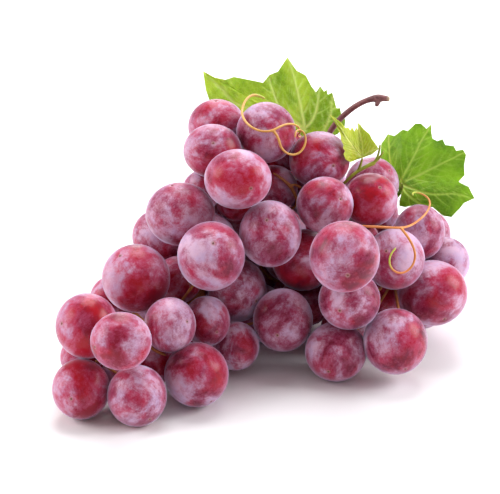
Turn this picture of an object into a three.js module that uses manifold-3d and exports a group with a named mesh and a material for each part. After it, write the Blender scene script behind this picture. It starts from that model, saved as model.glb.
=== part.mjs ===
import * as THREE from 'three';
import { mergeVertices } from 'three/addons/utils/BufferGeometryUtils.js';
import Module from 'manifold-3d';

// A bunch of red table grapes, cut from the vine with its stalk, three leaves and two tendrils,
// lying on its side. Lengths are millimetres, +Z is up, the bunch rests on z = 0 and its best side
// faces -Y. The berries were measured as they are seen from in front and a little above, so each is
// given across and up in that view, and a laying rule finds how deep it sits among the others.

const wasm = await Module();
wasm.setup();

// Driving dimensions
const viewTilt = THREE.MathUtils.degToRad(22);
const viewDistance = 700;
const middleHeight = 36.6;
const centreShift = [-7.25, 13.78];
const berryPress = 0.9;
const groundSink = 0.35;
const pieceGap = 0.35;
const facetGrowth = 1.03;
const farthestDepth = -60;
const hiddenCount = 30;
const hiddenRadius = [9.3, 10.9];
const stemRadius = 1.7;
const armRadius = 1.2;
const pedicelRadius = 0.7;
const petioleRadius = 0.75;
const shootRadius = 0.6;
const stalkRadius = 1.2;
const nodeRadius = 1.8;
const tendrilRadius = 0.55;
const bladeThickness = 0.8;

// Spare room beside the gap: for a bar bent round the berries, for a blade, and for a berry that is
// fitted in behind.
const barSlack = 0.3;
const bladeSlack = 0.7;
const packSlack = 0.35;

// Choice of a pocket for a berry behind. It lies within a share of the arm's reach. A pocket counts
// as nearer if it ties loose berries together, closes spots of a gap seen from in front, or gives a
// foot at the back. Its edge stays a little inside the outline of the berries before it.
const farthestShare = 1.15;
const tieBonus = 0.9;
const coverBonus = 0.03;
const footBonus = 0.35;
const hideMargin = 0.4;
const hideSpots = 12;
const innerHideRing = 0.55;
const gapStep = 1.5;
const fineGapStep = 0.75;

// A berry that closes a last gap: the radii that are tried, how far beside the gap it may lie, and
// the depths toward the eye that are tried.
const plugRadii = [8.6, 7.2];
const plugReach = 7.5;
const plugDepths = [20, -42];
const plugStep = 0.25;

// Two berries count as held together when they are pressed by at least this share of the full press.
const heldPressShare = 0.6;

const across = new THREE.Vector3(1, 0, 0);
const upward = new THREE.Vector3(0, Math.sin(viewTilt), Math.cos(viewTilt));
const toward = new THREE.Vector3(0, -Math.cos(viewTilt), Math.sin(viewTilt));
const middle = new THREE.Vector3(0, 0, middleHeight);

// Berries in view, deepest first: across, up, width, height, and for those that hang free of the
// berries behind them, the depth toward the eye at which they hang.
const seenBerries = [
  [19.9, -18.8, 18.5, 18.5, -6],
  [45.4, -18.8, 17.0, 17.0, -12],
  [18.8, -4.6, 22.0, 22.0, 0],
  [11.7, 34.4, 16.6, 16.6, -7.2],
  [21.3, 18.1, 15.6, 15.6, -8],
  [8.5, 20.6, 17.0, 17.0, -2],
  [-5.0, 16.3, 14.2, 14.2, -2],
  [-17.0, 20.2, 14.2, 14.2, -2],
  [-32.3, 3.9, 19.2, 19.2, -2],
  [-25.6, -11.7, 17.0, 17.0, 10],
  [-49.3, -17.8, 14.9, 14.9, 15],
  [-33.7, -40.1, 17.0, 17.0, 28],
  [-45.4, -44.4, 14.2, 14.2, 34],
  [-60.0, -39.0, 14.9, 14.9, 34],
  [43.3, 22.4, 19.2, 19.2, -8],
  [62.8, 4.6, 17.0, 17.0, -26],
  [69.2, -5.3, 17.8, 17.8, -15],
  [-11.7, 42.8, 20.7, 19.5, -1],
  [5.7, 40.7, 21.2, 21.6, -6],
  [24.7, 30.9, 21.6, 20.4],
  [-4.6, -15.3, 20.9, 22.7, 6],
  [-5.0, -35.1, 16.7, 17.4, 16],
  [11.7, -25.9, 21.3, 22.6],
  [30.5, -37.1, 22.0, 21.3],
  [-24.7, 11.7, 24.8, 22.6],
  [-57.9, -28.0, 22.4, 23.4],
  [-19.0, -45.3, 22.9, 23.1],
  [60.2, 5.3, 18.1, 19.7],
  [42.8, 16.8, 19.3, 19.1],
  [64.9, -16.3, 24.8, 23.4],
  [51.3, -4.3, 21.6, 21.7],
  [51.6, -33.5, 23.0, 23.6],
  [-13.3, 34.1, 20.9, 19.2],
  [-4.3, 24.1, 24.0, 21.4],
  [7.2, 4.7, 22.2, 23.8],
  [-13.8, -3.2, 24.1, 24.7],
  [-40.5, -11.1, 24.3, 24.4],
  [26.6, 15.0, 20.3, 20.0],
  [35.3, -18.8, 22.0, 21.3],
  [-15.4, -26.3, 16.7, 18.0],
  [-28.4, -27.7, 18.5, 19.8],
  [-60.0, -50.4, 20.6, 21.7],
  [-40.1, -52.8, 21.3, 22.0],
  [-45.8, -33.4, 21.9, 20.8],
  [33.6, -3.4, 25.1, 25.6],
];

// The outer berries of the view, in order round it: their centres bound the part of the bunch
// behind which the berries of the far side stay out of sight.
const rimBerries = [17, 18, 19, 14, 27, 16, 29, 31, 23, 22, 21, 26, 42, 41, 25, 10, 8, 7, 32];

// Arms of the main stem inside the bunch, from the stalk down, and how far from each point of an
// arm its berries reach.
const armKnots = [
  [[28.4, 26.7, 70.7, 16], [20, 18, 52, 26], [8, 9, 36, 31], [-16, -8, 27, 28], [-38, -30, 20, 18],
    [-54, -50, 15, 9]],
  [[20, 18, 52, 26], [38, 12, 36, 26], [56, 4, 29, 18]],
  [[8, 9, 38, 30], [-4, 14, 50, 22], [-14, 17, 60, 14]],
];

// Position of a point given across and up as seen, at a depth toward the eye.
function seenPoint(x, y, depth) {
  const flat = across.clone().multiplyScalar(x).addScaledVector(upward, y);
  const ray = toward.clone().addScaledVector(flat, -1 / viewDistance);
  return middle.clone().add(flat).addScaledVector(ray, depth);
}

// Across, up, depth and scale of a point as it is seen.
function seenFrom(point) {
  const offset = point.clone().sub(middle);
  const scale = viewDistance / (viewDistance - offset.dot(toward));
  return { x: offset.dot(across) * scale, y: offset.dot(upward) * scale, depth: offset.dot(toward), scale };
}

const berries = [];

function addBerry(centre, half, seen = null) {
  const radius = (half[0] + half[1]) / 2;
  berries.push({ centre, radius, half: [half[0], half[1], radius], seen, group: berries.length });
}

// Nearest depth to the eye at which a berry touches the ones already laid, or the ground.
function layBerry([x, y, width, height, start = farthestDepth]) {
  const seenRadius = (width + height) / 4;
  const origin = seenPoint(x, y, 0);
  const ray = seenPoint(x, y, 1).sub(origin);
  const shrink = seenRadius / viewDistance;
  let depth = Math.max(start, (seenRadius - groundSink - origin.z) / (ray.z + shrink));
  for (const other of berries) {
    const reach = seenRadius + other.radius - berryPress;
    const offset = origin.clone().sub(other.centre);
    const a = ray.lengthSq() - shrink * shrink;
    const b = offset.dot(ray) + reach * shrink;
    const c = offset.lengthSq() - reach * reach;
    const inside = b * b - a * c;
    if (inside > 0) depth = Math.max(depth, (Math.sqrt(inside) - b) / a);
  }
  const size = 1 - depth / viewDistance;
  addBerry(seenPoint(x, y, depth), [width / 2 * size, height / 2 * size], {
    x, y, depth, radius: seenRadius,
  });
}

seenBerries.forEach(layBerry);

// Moves the points of a curve out of the berries, each by the shortest way, and evens them out.
function bendClear(points, clearance, { pinStart = false, pinEnd = false, rounds = 60 } = {}) {
  const first = pinStart ? 1 : 0;
  const last = points.length - (pinEnd ? 1 : 0);
  for (let round = 0; round < rounds; round += 1) {
    if (round < rounds * 0.7) {
      for (let i = Math.max(first, 1); i < Math.min(last, points.length - 1); i += 1) {
        const between = points[i - 1].clone().add(points[i + 1]).multiplyScalar(0.5);
        points[i].lerp(between, 0.35);
      }
    }
    for (let i = first; i < last; i += 1) {
      pushOut(points[i], clearance);
    }
  }
  return points;
}

// Distance from the centre of a berry to its skin along an offset from that centre.
function skinReach(berry, offset) {
  const [width, height, depth] = berry.half;
  const share = Math.hypot(
    offset.dot(across) / width,
    offset.dot(upward) / height,
    offset.dot(toward) / depth,
  );
  return facetGrowth * offset.length() / Math.max(share, 1e-6);
}

function isClearOf(berry, point, clearance) {
  const offset = point.clone().sub(berry.centre);
  return offset.length() > skinReach(berry, offset) + clearance;
}

function pushOut(point, clearance) {
  for (const berry of berries) {
    const offset = point.clone().sub(berry.centre);
    const distance = offset.length();
    const reach = skinReach(berry, offset) + clearance;
    if (distance < reach) point.addScaledVector(offset, (reach - distance) / Math.max(distance, 0.01));
  }
  if (point.z < clearance) point.z = clearance;
}

function resample(points, spacing) {
  const curve = new THREE.CatmullRomCurve3(points, false, 'centripetal');
  return curve.getSpacedPoints(Math.max(2, Math.round(curve.getLength() / spacing)));
}

// Cut stalk: comes out behind the upper berries, swells at a knot with the stub of a side shoot,
// and ends in the cut.
const stalkLine = [[28, 40.2, -14], [29.6, 43.2, -13], [31.7, 45.3, -12], [34.2, 47.7, -11],
  [36.7, 49.7, -9.5], [39.2, 51.2, -8], [41.7, 52.3, -6.5], [44.2, 53, -5.5], [46.4, 53.2, -5],
  [49.7, 52.5, -4.5]].map((spot) => seenPoint(...spot));
bendClear(stalkLine, stalkRadius + pieceGap + barSlack, { rounds: 2 });

// Main stem, hung just below the stalk, and its arms, bent clear of the berries in view.
const stalkWay = stalkLine[1].clone().sub(stalkLine[0]).normalize();
const hangPoint = stalkLine[0].clone().addScaledVector(stalkWay, -(stemRadius + pieceGap));
const arms = [];
for (const knots of armKnots) {
  const raw = knots.map(([x, y, z]) => new THREE.Vector3(x, y, z));
  const points = resample(raw, 4);
  points[0].copy(arms.length > 0 ? nearestArmPoint(points[0]) : hangPoint);
  const clearance = (arms.length > 0 ? armRadius : stemRadius) + pieceGap;
  arms.push(bendClear(points, clearance, { pinStart: true }));
}

function nearestArmPoint(point) {
  let best = arms[0][0];
  for (const arm of arms) {
    for (const candidate of arm) {
      if (candidate.distanceTo(point) < best.distanceTo(point)) best = candidate;
    }
  }
  return best;
}

// Two twigs that show between the upper berries, as seen, with their depths.
const twigLines = [
  [[8.05, 26.1, 8], [10.3, 25.6, 8], [12.8, 24.7, 8], [14.6, 22.9, 7.5], [14.6, 20, 6.5], [14, 16.7, 3]],
  [[19.7, 22.9, 6], [17, 23.1, 7], [14.6, 22.9, 7.5]],
];
const twigs = twigLines.map((line) => line.map((spot) => seenPoint(...spot)));
twigs[0].push(nearestArmPoint(twigs[0].at(-1)).clone());
const twigRoom = pedicelRadius + pieceGap + barSlack;
twigs[0] = bendClear(resample(twigs[0], 2.5), twigRoom, { pinEnd: true, rounds: 40 });
twigs[1] = bendClear(resample(twigs[1], 2.5), twigRoom, { rounds: 20 });
twigs[1].push(twigs[0].reduce((best, point) => (
  point.distanceTo(twigs[1].at(-1)) < best.distanceTo(twigs[1].at(-1)) ? point : best
)).clone());

// Share of an arm's reach at which a point lies: 1 at the edge of the bunch.
function armShare(point) {
  let best = Infinity;
  for (const knots of armKnots) {
    for (let i = 1; i < knots.length; i += 1) {
      const start = new THREE.Vector3(...knots[i - 1]);
      const line = new THREE.Vector3(...knots[i]).sub(start);
      const along = THREE.MathUtils.clamp(point.clone().sub(start).dot(line) / line.lengthSq(), 0, 1);
      const reach = THREE.MathUtils.lerp(knots[i - 1][3], knots[i][3], along);
      best = Math.min(best, point.distanceTo(start.addScaledVector(line, along)) / reach);
    }
  }
  return best;
}

// Leaves. Each outline runs round the blade as seen, from its notch at the leaf stalk, and the
// blade is a net of rings round the point where the veins start.
const leafDepths = {
  leaf_left: (x, y) => -21 - 0.10 * (y - 41) + 0.018 * (x - 12) * (x - 12) * 0.25 + 0.9 * Math.sin(x / 2.6),
  leaf_right: (x, y) => -9.5 - 0.16 * (y - 22) + 0.1 * (x - 53) + 0.8 * Math.sin(y / 2.4)
    - 1.1 * Math.max(0, 53 - x),
  leaf_young: (x, y) => 4 + 0.1 * (y - 31) + Math.min(9, 1.35 * Math.max(0, 39 - x))
    + 0.5 * Math.sin(x / 1.6),
};

const leafShapes = {
  leaf_left: {
    base: [18.8, 41.2],
    outline: [[17.8, 37.6], [12, 38.5], [5, 41.5], [-2, 44.5], [-8, 47.5], [-13.6, 49.6], [-15.7, 55.7],
      [-16.7, 62.5], [-12.6, 60.2], [-8.7, 59.4], [-5.7, 60.4], [-1.6, 59.6], [2.8, 58.7], [4.6, 58.3],
      [6.9, 61.1], [9.9, 62.3], [13.3, 67.4], [16.5, 62.7], [19.8, 60.9], [21.9, 56.9], [23.5, 55],
      [24.9, 57.1], [26.3, 55.2], [27.2, 55.8], [27.6, 54.1], [29.2, 54.8], [29.9, 52.4], [30.7, 49.3],
      [32, 49.3], [32.4, 47.2], [33.9, 45.1], [33.6, 42.6], [31, 40], [26, 38.2], [21, 37.6]],
    rings: 4,
  },
  leaf_right: {
    base: [53, 22.6],
    outline: [[51.6, 19.6], [49.4, 23.6], [47.2, 28], [46.3, 32.4], [46.6, 36.7], [47.6, 38],
      [48.9, 40.1], [51.2, 39.4], [54.2, 41.7], [56, 41.2], [58.7, 43.8], [60.7, 43.8], [62.6, 42],
      [64.4, 43.6], [64.4, 40.6], [64.8, 38.5],
      [66.4, 37.6], [68.3, 38.3], [69.4, 36.2], [72.3, 35.9], [73.2, 34.2], [75.6, 34.6], [76.7, 32.8],
      [76, 28.8], [76.2, 25.5], [74, 23.1], [77.6, 21.4], [79.7, 17.3], [76, 15.6], [74.4, 13.6],
      [73.2, 12.4], [71.5, 10.6], [69, 11], [67.3, 10.4], [64, 12.5], [59, 12.4], [55.5, 13.4],
      [53, 14.6], [52.2, 18.5]],
    rings: 4,
  },
  leaf_young: {
    base: [39.9, 32],
    outline: [[39.9, 31.6], [37.9, 31], [36.6, 30.7], [34.3, 30.2], [33, 31.1], [32.6, 32.8], [33.2, 33.9],
      [32.8, 35], [33.2, 36.1], [32.3, 38], [32, 40.2], [31.3, 41.6], [30.6, 43.3], [29.3, 45.3],
      [28.3, 47.1], [30.5, 45.6], [32.3, 44.2], [33.9, 42.3], [34.9, 42.4], [35.6, 41.4], [36.2, 42.6],
      [37.1, 41.1], [37.8, 42.6], [38.3, 41.3], [38.1, 44.2], [39.1, 43.5], [40.2, 42], [42.5, 40],
      [43.2, 38.5], [45.1, 35.9], [45.7, 34.8], [44.7, 34], [43.2, 32.8], [41.3, 32.2]],
    rings: 3,
  },
};

// Leaf stalks, from the foot of the blade in among the berries, as seen, with their depths.
const petioleLines = {
  leaf_left: [[22.5, 39.6, -22], [26, 38, -20.5], [28, 36, -17.5]],
  leaf_right: [[51.6, 19.4, -11], [48.4, 15.4, -14.5], [44.5, 11.5, -16]],
};

function bladePoints(name) {
  const { base, outline, rings } = leafShapes[name];
  const place = (x, y) => seenPoint(x, y, leafDepths[name](x, y));
  const net = [[place(...base)]];
  for (let ring = 1; ring <= rings; ring += 1) {
    const share = ring / rings;
    net.push(outline.map(([x, y]) => place(
      base[0] + (x - base[0]) * share,
      base[1] + (y - base[1]) * share,
    )));
  }
  for (let round = 0; round < 30; round += 1) {
    net.flat().forEach((point) => pushOut(point, bladeThickness / 2 + pieceGap + bladeSlack));
  }
  return net;
}

// A blade as one closed solid: the net on both faces, split alike, and a strip round the edge.
function bladeGeometry(net) {
  const points = net.flat();
  const count = net[1].length;
  const rings = net.length - 1;
  const positions = [];
  for (const side of [0.5, -0.5]) {
    for (const point of points) {
      const moved = point.clone().addScaledVector(toward, side * bladeThickness);
      positions.push(moved.x, moved.y, moved.z);
    }
  }
  const faces = [];
  const at = (ring, i) => (ring === 0 ? 0 : 1 + (ring - 1) * count + (i % count));
  for (let i = 0; i < count; i += 1) {
    faces.push([0, at(1, i), at(1, i + 1)]);
    for (let ring = 1; ring < rings; ring += 1) {
      faces.push([at(ring, i), at(ring + 1, i), at(ring + 1, i + 1)]);
      faces.push([at(ring, i), at(ring + 1, i + 1), at(ring, i + 1)]);
    }
  }
  const index = [];
  const far = points.length;
  for (const [a, b, c] of faces) {
    index.push(a, c, b, far + a, far + b, far + c);
  }
  for (let i = 0; i < count; i += 1) {
    const a = at(rings, i);
    const b = at(rings, i + 1);
    index.push(a, b, far + a, b, far + b, far + a);
  }
  const geometry = new THREE.BufferGeometry();
  geometry.setAttribute('position', new THREE.Float32BufferAttribute(positions, 3));
  geometry.setIndex(index);
  return geometry;
}

// A round bar along a curve, closed at both ends, with a radius that may change along it.
function barGeometry(points, radiusAt, { sides = 6, spacing = 2.5 } = {}) {
  const curve = new THREE.CatmullRomCurve3(points, false, 'centripetal');
  const steps = Math.max(2, Math.round(curve.getLength() / spacing));
  const frames = curve.computeFrenetFrames(steps, false);
  const positions = [];
  for (let i = 0; i <= steps; i += 1) {
    const centre = curve.getPointAt(i / steps);
    const radius = radiusAt(i / steps);
    for (let j = 0; j < sides; j += 1) {
      const angle = 2 * Math.PI * j / sides;
      const spot = centre.clone()
        .addScaledVector(frames.normals[i], radius * Math.cos(angle))
        .addScaledVector(frames.binormals[i], radius * Math.sin(angle));
      positions.push(spot.x, spot.y, spot.z);
    }
  }
  const index = [];
  for (let j = 0; j < sides; j += 1) {
    const next = (j + 1) % sides;
    for (let i = 0; i < steps; i += 1) {
      const a = i * sides + j;
      const b = i * sides + next;
      index.push(a, b, a + sides, b, b + sides, a + sides);
    }
    if (j > 0 && j < sides - 1) {
      const end = steps * sides;
      index.push(0, j + 1, j, end, end + j, end + j + 1);
    }
  }
  const geometry = new THREE.BufferGeometry();
  geometry.setAttribute('position', new THREE.Float32BufferAttribute(positions, 3));
  geometry.setIndex(index);
  return geometry;
}

function solidOf(geometry) {
  const bare = geometry.clone();
  bare.deleteAttribute('normal');
  bare.deleteAttribute('uv');
  const merged = mergeVertices(bare, 1e-4);
  return new wasm.Manifold(new wasm.Mesh({
    numProp: 3,
    vertProperties: new Float32Array(merged.attributes.position.array),
    triVerts: new Uint32Array(merged.index.array),
  }));
}

function geometryOf(solid) {
  const mesh = solid.getMesh();
  const geometry = new THREE.BufferGeometry();
  geometry.setAttribute('position', new THREE.BufferAttribute(mesh.vertProperties, 3));
  geometry.setIndex(new THREE.BufferAttribute(mesh.triVerts, 1));
  return geometry;
}

function join(solids) {
  let row = solids;
  while (row.length > 1) {
    const next = [];
    for (let i = 0; i < row.length; i += 2) {
      next.push(i + 1 < row.length ? row[i].add(row[i + 1]) : row[i]);
    }
    row = next;
  }
  return row[0];
}

const nets = {};
for (const name of Object.keys(leafShapes)) {
  nets[name] = bladePoints(name);
}

const petioles = {};
for (const [name, line] of Object.entries(petioleLines)) {
  const points = [nets[name][0][0].clone(), ...line.map((spot) => seenPoint(...spot))];
  const room = petioleRadius + pieceGap + barSlack;
  petioles[name] = bendClear(resample(points, 2.5), room, { pinStart: true, rounds: 30 });
}

// The stalk tapers toward its cut end and swells at the knot, at a share of its length.
const knotAt = 0.84;
const knotSpread = 0.07;
const stalkTaper = 0.15;
const stalkWidth = (share) => {
  const knot = Math.exp(-(((share - knotAt) / knotSpread) ** 2));
  return stalkRadius * (1 - stalkTaper * share) + (nodeRadius - stalkRadius) * knot;
};
const stubLine = [[46.1, 53, -5], [45.4, 51.3, -4.6], [44.8, 49.9, -4.4]]
  .map((spot) => seenPoint(...spot));

// Green shoot beside the young leaf, with its bud and two small curls.
const shootLine = [[29.6, 19.8, 0], [31, 21.4, 3.5], [33, 23.1, 6], [35.8, 25.4, 5.5], [38.5, 27.1, 5],
  [41.5, 29, 4.2], [44.2, 29.9, 3.5]];
const shootBranches = [
  [[38.5, 27.1, 5], [39.2, 29, 5.2], [39.9, 31.6, 5.8]],
  [[44.2, 29.9, 3.5], [45.6, 32.8, 3.2], [46.2, 36.4, 3]],
  [[43.4, 29.6, 3.7], [46, 31.6, 4.4], [47.5, 34, 5]],
];

const shootSwelling = 0.3;
const shootPath = resample(shootLine.map((spot) => seenPoint(...spot)), 2.5);
bendClear(shootPath, shootRadius + pieceGap + barSlack, { rounds: 4 });
const shootPoints = [...shootPath, ...shootBranches.flat().map((spot) => seenPoint(...spot))];

// Tendrils, as seen, with the depth from which they are bent clear of the berries.
const tendrilLines = {
  tendril_left: [
    [[5.3, 52.7, 6], [2.4, 54.7, 7], [-0.5, 54, 9], [-2.7, 50.4, 11], [-2, 46.8, 14], [0.2, 43.1, 16],
      [3.1, 41, 18], [6, 40.3, 18.5], [8.7, 41.2, 18], [9.9, 43, 17.5], [12.2, 43.5, 16], [14.3, 42.8, 13],
      [16.5, 41.5, 10], [17.4, 39.6, 7], [17.6, 38.4, 3], [18, 37.6, -1]],
    [[8.9, 41, 18], [9.4, 37.3, 17.5], [11.4, 34.1, 16.5], [14, 32.3, 16], [16.5, 32, 15.5],
      [18.7, 33.7, 15], [20.1, 36.6, 14.5], [20.3, 39.2, 14], [19.4, 41.7, 13.5], [17.6, 42.6, 14.5],
      [15.8, 42, 16.5], [15.1, 40.2, 17], [16, 38.8, 16.5]],
  ],
  tendril_right: [
    [[35.4, 7, 15], [38.2, 7.4, 21], [41.4, 7.3, 26], [47.1, 7.1, 29], [53.6, 6.7, 28],
      [56.4, 7.3, 24], [60.1, 9.6, 17], [63, 12.4, 12],
      [64.3, 15.7, 8], [63, 18.1, 4], [60.1, 19.5, 2], [57.5, 20, 3], [56.7, 19.2, 5], [57.9, 18.3, 7]],
    [[53.4, 6.8, 28], [56.1, 3.9, 29], [58.1, 0.2, 29.5], [59.3, -3.1, 29], [58.5, -6, 29],
      [56.4, -8.8, 30], [53.6, -10.1, 31], [50.8, -9.2, 32], [48.9, -6.4, 33], [48.9, -3.9, 33.5],
      [50.3, -0.8, 33.5], [51.8, -0.3, 33]],
  ],
};

const tendrilPaths = {};
for (const [name, lines] of Object.entries(tendrilLines)) {
  tendrilPaths[name] = lines.map((line) => {
    const points = resample(line.map((spot) => seenPoint(...spot)), 1.8);
    return bendClear(points, tendrilRadius + pieceGap + barSlack, { rounds: 6, pinStart: true });
  });
  tendrilPaths[name][1][0].copy(
    tendrilPaths[name][0].reduce((best, point) => (
      point.distanceTo(tendrilPaths[name][1][1]) < best.distanceTo(tendrilPaths[name][1][1]) ? point : best
    )),
  );
}

// Berries of the far side: each fills the free pocket nearest to the stem, where it rests on three
// berries, or on two and the ground, and stays out of sight from in front.
let seed = 5;
function random() {
  seed = (seed * 1103515245 + 12345) % 2147483648;
  return seed / 2147483648;
}

const keepClear = [...arms.flat().map((point) => [point, stemRadius]),
  ...stalkLine.map((point) => [point, stalkRadius]),
  ...twigs.flat().map((point) => [point, pedicelRadius + barSlack]),
  ...shootPoints.map((point) => [point, shootRadius + barSlack]),
  ...Object.values(petioles).flat().map((point) => [point, petioleRadius + barSlack]),
  ...Object.values(tendrilPaths).flat(2).map((point) => [point, tendrilRadius + barSlack]),
  ...Object.values(nets).flat(2).map((point) => [point, bladeThickness + bladeSlack])];

function isFree(point, radius) {
  if (point.z < radius - groundSink - 1e-6) return false;
  for (const berry of berries) {
    if (point.distanceTo(berry.centre) < radius + berry.radius - berryPress - packSlack) return false;
  }
  return keepClear.every(([spot, size]) => (
    point.distanceTo(spot) > radius * facetGrowth + size + pieceGap + barSlack
  ));
}

function insideRim(x, y) {
  let inside = false;
  rimBerries.forEach((index, i) => {
    const a = seenBerries[index];
    const b = seenBerries[rimBerries[(i + 1) % rimBerries.length]];
    if ((a[1] > y) !== (b[1] > y) && x < (b[0] - a[0]) * (y - a[1]) / (b[1] - a[1]) + a[0]) {
      inside = !inside;
    }
  });
  return inside;
}

function isHidden(point, radius) {
  const { x, y, depth, scale } = seenFrom(point);
  for (let i = 0; i <= 2 * hideSpots; i += 1) {
    const ring = i < hideSpots ? 1 : innerHideRing;
    const reach = i < 2 * hideSpots ? ring * radius * scale : 0;
    const spotX = x + reach * Math.cos(2 * Math.PI * i / hideSpots);
    const spotY = y + reach * Math.sin(2 * Math.PI * i / hideSpots);
    let front = -Infinity;
    for (const { seen } of berries) {
      if (seen && Math.hypot(spotX - seen.x, spotY - seen.y) < seen.radius - hideMargin) {
        front = Math.max(front, seen.depth);
      }
    }
    if (front < depth && (front > -Infinity || !insideRim(spotX, spotY))) return false;
  }
  return true;
}

function isBehind([gapX, gapY], point, radius) {
  const { x, y, scale } = seenFrom(point);
  return Math.hypot(gapX - x, gapY - y) < radius * scale;
}

// Spots inside the outline, a step apart, where no berry is seen yet.
function openSpots(step) {
  const spots = [];
  const behind = berries.slice(seenBerries.length);
  for (let x = -75; x <= 80; x += step) {
    for (let y = -65; y <= 55; y += step) {
      const open = seenBerries.every(([a, b, width, height]) => (
        Math.hypot((x - a) / width, (y - b) / height) > 0.5
      ));
      const closed = behind.some(({ centre, radius }) => isBehind([x, y], centre, radius));
      if (open && !closed && insideRim(x, y)) spots.push([x, y]);
    }
  }
  return spots;
}

let gapSpots = openSpots(gapStep);

// The two centres at three given distances from three points.
function restOnThree([p, a], [q, b], [r, c]) {
  const side = q.clone().sub(p);
  const d = side.length();
  side.divideScalar(d);
  const third = r.clone().sub(p);
  const i = side.dot(third);
  const lean = third.addScaledVector(side, -i);
  const j = lean.length();
  if (j < 1e-6) return [];
  lean.divideScalar(j);
  const x = (a * a - b * b + d * d) / (2 * d);
  const y = (a * a - c * c + i * i + j * j) / (2 * j) - (i / j) * x;
  const rest = a * a - x * x - y * y;
  if (rest < 0) return [];
  const foot = p.clone().addScaledVector(side, x).addScaledVector(lean, y);
  const away = side.clone().cross(lean).multiplyScalar(Math.sqrt(rest));
  return [foot.clone().add(away), foot.clone().sub(away)];
}

// The two centres on the ground at two given distances from two points.
function restOnGround([p, a], [q, b], height) {
  const nearReach = a * a - (p.z - height) ** 2;
  const farReach = b * b - (q.z - height) ** 2;
  const side = new THREE.Vector3(q.x - p.x, q.y - p.y, 0);
  const d = side.length();
  if (nearReach <= 0 || farReach <= 0 || d < 1e-6) return [];
  side.divideScalar(d);
  const x = (nearReach - farReach + d * d) / (2 * d);
  if (nearReach < x * x) return [];
  const foot = new THREE.Vector3(p.x, p.y, height).addScaledVector(side, x);
  const away = new THREE.Vector3(-side.y, side.x, 0).multiplyScalar(Math.sqrt(nearReach - x * x));
  return [foot.clone().add(away), foot.clone().sub(away)];
}

function pockets(radius) {
  const found = [];
  const reach = berries.map((berry) => [berry.centre, berry.radius + radius - berryPress]);
  const meet = (i, j) => reach[i][0].distanceTo(reach[j][0]) < reach[i][1] + reach[j][1];
  for (let i = 0; i < reach.length; i += 1) {
    for (let j = 0; j < i; j += 1) {
      if (!meet(i, j)) continue;
      restOnGround(reach[i], reach[j], radius - groundSink).forEach((spot) => found.push([spot, i, j]));
      for (let k = 0; k < j; k += 1) {
        if (!meet(i, k) || !meet(j, k)) continue;
        restOnThree(reach[i], reach[j], reach[k]).forEach((spot) => found.push([spot, i, j, k]));
      }
    }
  }
  return found;
}

function joinGroups() {
  for (const one of berries) {
    for (const other of berries) {
      const reach = one.radius + other.radius - berryPress * heldPressShare;
      const touch = one.centre.distanceTo(other.centre) < reach;
      if (touch && one.group !== other.group) {
        const old = other.group;
        berries.filter((berry) => berry.group === old).forEach((berry) => { berry.group = one.group; });
      }
    }
  }
}

joinGroups();
for (let round = 0; round < hiddenCount; round += 1) {
  const radius = hiddenRadius[0] + (hiddenRadius[1] - hiddenRadius[0]) * random();
  let best = null;
  for (const [spot, ...rests] of pockets(radius)) {
    const groups = new Set(rests.map((index) => berries[index].group)).size;
    const share = armShare(spot);
    const foot = rests.length === 2 && spot.y > 0 ? footBonus : 0;
    const closed = gapSpots.filter((gap) => isBehind(gap, spot, radius)).length;
    const score = share - tieBonus * (groups - 1) - foot - coverBonus * closed;
    if (share > farthestShare || (best && score >= best.score)) continue;
    if (isFree(spot, radius) && isHidden(spot, radius)) best = { spot, score };
  }
  if (best) {
    addBerry(best.spot, [radius, radius]);
    gapSpots = gapSpots.filter((gap) => !isBehind(gap, best.spot, radius));
    joinGroups();
  }
}

// Gaps that are still open are closed by berries farther in, each where it is free and held by
// another, as near to the eye as it can be.
function isHeld(point, radius) {
  return berries.some((other) => (
    point.distanceTo(other.centre) < radius + other.radius - berryPress * heldPressShare
  ));
}

function findPlug(gap, radius) {
  let best = null;
  for (let side = -plugReach; side <= plugReach; side += gapStep) {
    for (let rise = -plugReach; rise <= plugReach; rise += gapStep) {
      for (let depth = plugDepths[0]; depth > plugDepths[1]; depth -= plugStep) {
        const spot = seenPoint(gap[0] + side, gap[1] + rise, depth);
        const fits = isHeld(spot, radius) && isFree(spot, radius) && isHidden(spot, radius);
        if (!fits) continue;
        const closed = gapSpots.filter((other) => isBehind(other, spot, radius)).length;
        if (!best || closed > best.closed) best = { spot, closed };
        break;
      }
    }
  }
  return best;
}

gapSpots = openSpots(fineGapStep);
for (const radius of plugRadii) {
  for (const gap of [...gapSpots]) {
    const plug = gapSpots.includes(gap) ? findPlug(gap, radius) : null;
    if (!plug) continue;
    addBerry(plug.spot, [radius, radius]);
    gapSpots = gapSpots.filter((other) => !isBehind(other, plug.spot, radius));
  }
}

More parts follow.
